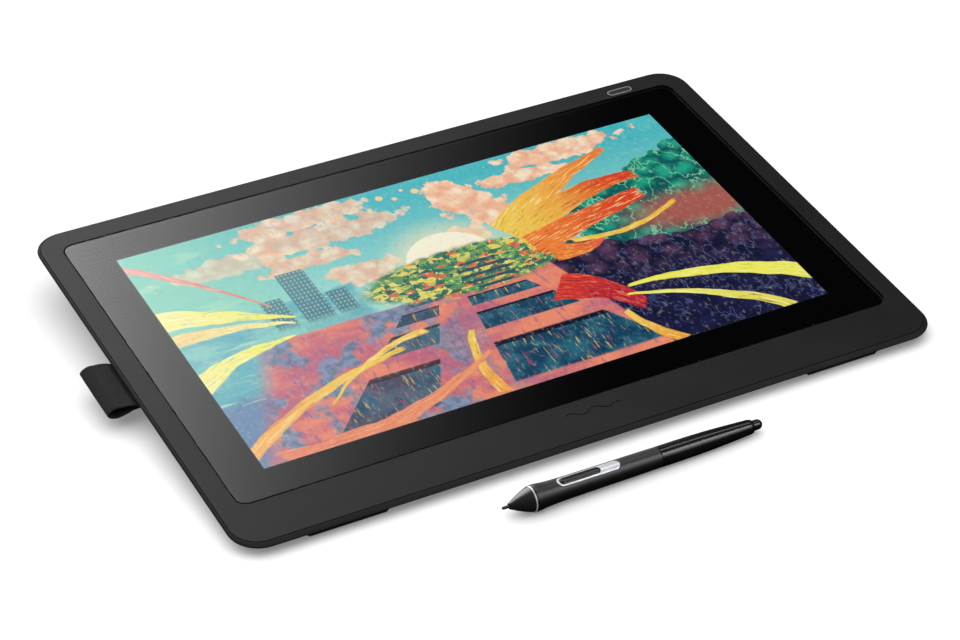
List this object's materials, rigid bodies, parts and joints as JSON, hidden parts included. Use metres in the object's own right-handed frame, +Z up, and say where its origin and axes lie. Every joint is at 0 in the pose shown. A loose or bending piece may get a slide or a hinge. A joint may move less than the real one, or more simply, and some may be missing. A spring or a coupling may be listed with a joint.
{
  "type": "pen drawing tablet",
  "caption": "Pen drawing tablet with a built-in screen: thin black casing, cover glass, fold-out rear legs, fabric pen loop at the side and a pressure pen with a side switch and eraser.",
  "frame": {"origin": "on the desk surface, under the middle of the casing", "axes": "+X to the right of someone drawing, +Y to the back edge, +Z up"},
  "size_m": [0.4361, 0.3196, 0.0314],
  "materials": {
    "bezel_plastic": "fine textured matte moulded plastic",
    "cover_plastic": "fine textured matte moulded plastic",
    "screen_glass": "smooth coated glass",
    "screen_panel": "smooth lit screen",
    "white_film": "satin white film",
    "clear_acrylic": "clear polished acrylic",
    "led_white": "pale glossy",
    "steel": "stamped sheet, satin",
    "screw_black": "black oxide",
    "aluminium": "satin",
    "brass": "machined",
    "circuit_board": "solder mask, semi-gloss",
    "chip_black": "moulded epoxy",
    "ribbon": "amber film",
    "foam_tape": "matte foam",
    "rubber": "matte moulded rubber",
    "button_plastic": "fine textured matte moulded plastic",
    "light_ring": "translucent satin",
    "loop_fabric": "woven ribbed polyester",
    "clip_plastic": "matte moulded plastic",
    "nib_plastic": "satin polished plastic",
    "pen_rubber": "soft-touch rubber",
    "pen_plastic": "satin moulded plastic",
    "pen_cone_plastic": "satin moulded plastic",
    "pen_silver": "satin silver",
    "ferrite": "sintered, dull",
    "copper": "enamelled wire"
  },
  "bodies": {
    "casing": {"front_bezel": "bezel_plastic", "cover_glass": "screen_glass", "panel_gasket": "foam_tape", "lcd_panel": "screen_panel", "optical_film_stack": "white_film", "light_guide": "clear_acrylic", "backlight_reflector": "white_film", "led_strip": "led_white", "lcd_rear_tray": "steel", "panel_driver_board": "circuit_board", "digitizer_board": "circuit_board", "shield_plate": "steel", "chassis_plate": "aluminium", "main_board": "circuit_board", "main_board_chips": "chip_black", "heat_spreader": "aluminium", "port_connector": "steel", "panel_ribbon": "ribbon", "digitizer_ribbon": "ribbon", "button_board": "circuit_board", "button_switch": "steel", "power_light_ring": "light_ring", "rear_cover": "cover_plastic", "leg_hinge_pins": "steel", "leg_detent_springs": "steel", "front_feet": "rubber", "stand_inserts": "brass", "casing_screws": "screw_black", "chassis_screws": "steel", "board_screws": "steel", "spare_nibs": "nib_plastic", "nib_puller": "clip_plastic", "lock_plate": "steel"},
    "leg_left": {"left_leg": "cover_plastic", "left_leg_foot": "rubber"},
    "leg_right": {"right_leg": "cover_plastic", "right_leg_foot": "rubber"},
    "button": {"power_button": "button_plastic"},
    "clip": {"loop_clip": "clip_plastic"},
    "loop": {"pen_loop": "loop_fabric"},
    "pen": {"pen_nose_cone": "pen_cone_plastic", "pen_ring": "pen_silver", "pen_grip": "pen_rubber", "pen_switch_frame": "pen_silver", "pen_barrel": "pen_plastic", "pen_inner_tube": "clip_plastic", "pen_nib_core": "ferrite", "pen_nib_coil": "copper", "pen_pressure_sensor": "chip_black", "pen_circuit_board": "circuit_board", "pen_switch_domes": "steel", "pen_eraser_holder": "clip_plastic"},
    "nib": {"pen_nib": "nib_plastic"},
    "rocker": {"pen_switch_rocker": "pen_plastic"},
    "eraser": {"pen_eraser": "pen_plastic"}
  },
  "joints": [
    {"name": "left_leg_fold", "type": "hinge", "parent": "casing", "child": "leg_left", "pos_m": [-0.118, 0.11626, 0.01334], "axis": [1, 0, 0], "range_deg": [0, 95]},
    {"name": "right_leg_fold", "type": "hinge", "parent": "casing", "child": "leg_right", "pos_m": [0.118, 0.11626, 0.01334], "axis": [1, 0, 0], "range_deg": [0, 95]},
    {"name": "power_button_press", "type": "slide", "parent": "casing", "child": "button", "axis": [0, 0.0855, -0.9963], "range_m": [0, 0.0005], "stiffness_N_per_m": 30},
    {"name": "loop_clip_pull", "type": "slide", "parent": "casing", "child": "clip", "axis": [-1, 0, 0], "range_m": [0, 0.012], "stiffness_N_per_m": 10},
    {"name": "pen_loop_flex", "type": "hinge", "parent": "clip", "child": "loop", "pos_m": [-0.2085, 0.00885, 0.01356], "axis": [0, 0.9963, 0.0855], "range_deg": [-35, 25], "stiffness_Nm_per_rad": 0.02},
    {"name": "pen_lift", "type": "slide", "parent": "casing", "child": "pen", "axis": [0, 0, 1], "range_m": [0, 0.12]},
    {"name": "pen_nib_press", "type": "slide", "parent": "pen", "child": "nib", "axis": [0.9996, 0.0209, -0.0169], "range_m": [0, 0.0004], "stiffness_N_per_m": 30},
    {"name": "pen_switch_rock", "type": "hinge", "parent": "pen", "child": "rocker", "pos_m": [-0.03482, -0.17146, 0.01146], "axis": [-0.017, 0.978, 0.2079], "range_deg": [-2, 2], "stiffness_Nm_per_rad": 0.001},
    {"name": "pen_eraser_press", "type": "slide", "parent": "pen", "child": "eraser", "axis": [-0.9996, -0.0209, 0.0169], "range_m": [0, 0.0008], "stiffness_N_per_m": 60}
  ]
}
